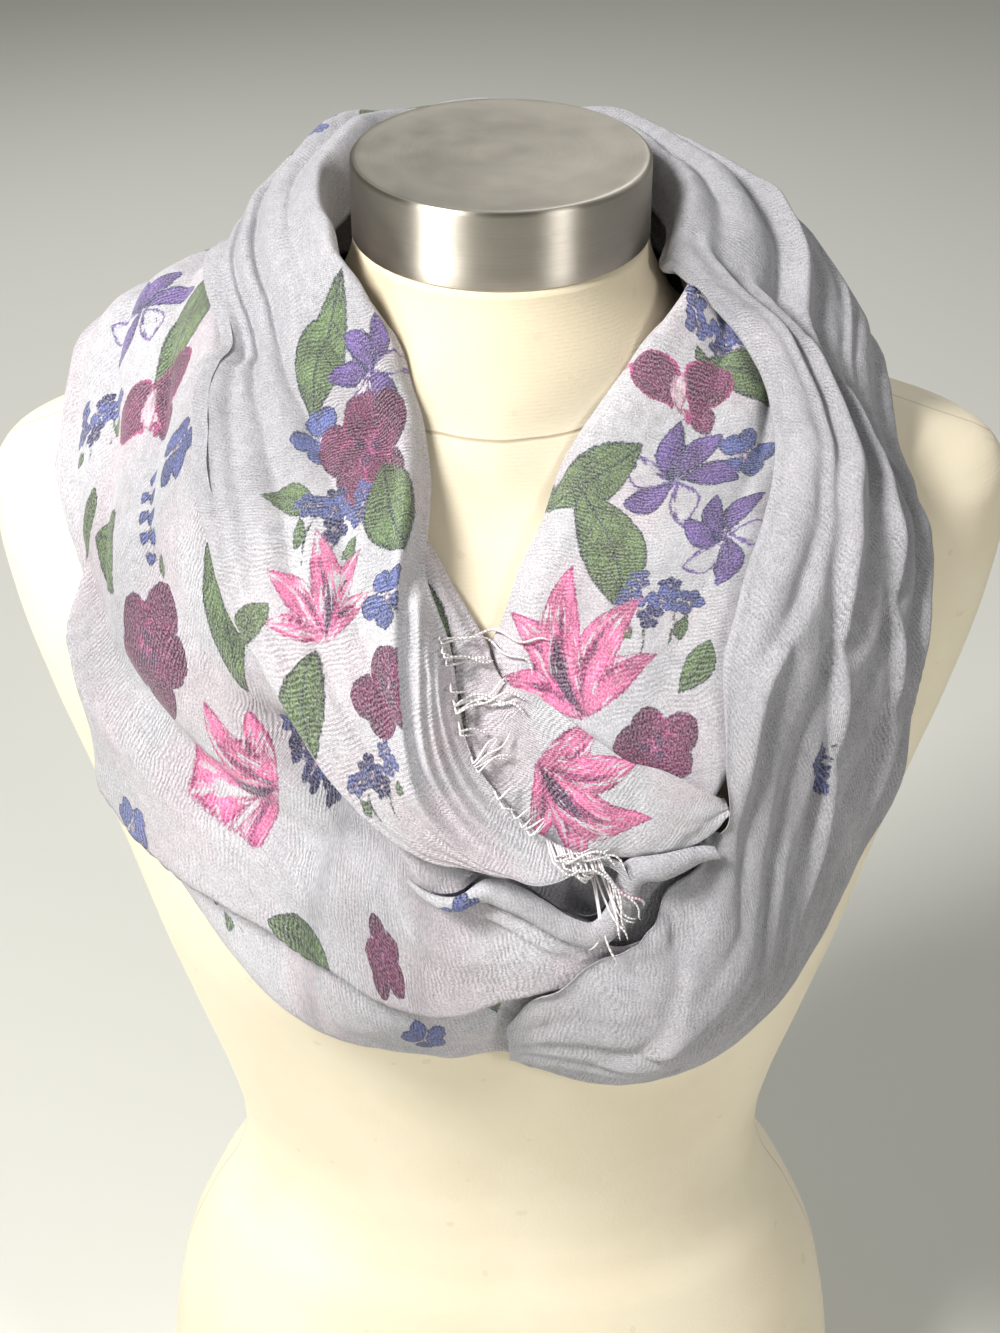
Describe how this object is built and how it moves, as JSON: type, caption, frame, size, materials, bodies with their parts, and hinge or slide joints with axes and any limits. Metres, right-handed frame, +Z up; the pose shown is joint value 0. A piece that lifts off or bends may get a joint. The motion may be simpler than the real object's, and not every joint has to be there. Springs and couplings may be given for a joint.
{
  "type": "scarf on a limbless dress form",
  "caption": "Thin printed scarf with a frayed end, wound twice round the neck of a limbless cloth-covered dress form with a brushed metal neck cap.",
  "frame": {"origin": "centre of the form's flat underside", "axes": "+Z up, -Y towards the front of the form, +X towards the viewer's right"},
  "size_m": [0.412, 0.2648, 0.7],
  "materials": {
    "form_cloth": "cream jersey stretched smooth over a firm body",
    "neck_metal": "brushed, with a dull flat top",
    "scarf_cloth": "thin crinkled twill, pale lavender grey with printed flowers and leaves",
    "fringe_yarn": "loose pale threads"
  },
  "bodies": {
    "root": {"form_body": "form_cloth", "neck_cap": "neck_metal", "scarf_back_under": "scarf_cloth", "scarf_right_inner": "scarf_cloth", "scarf_left_outer": "scarf_cloth", "scarf_right_outer": "scarf_cloth", "scarf_centre_roll": "scarf_cloth", "scarf_back_upper": "scarf_cloth", "scarf_left_inner": "scarf_cloth", "fringe_end": "fringe_yarn"}
  },
  "joints": []
}
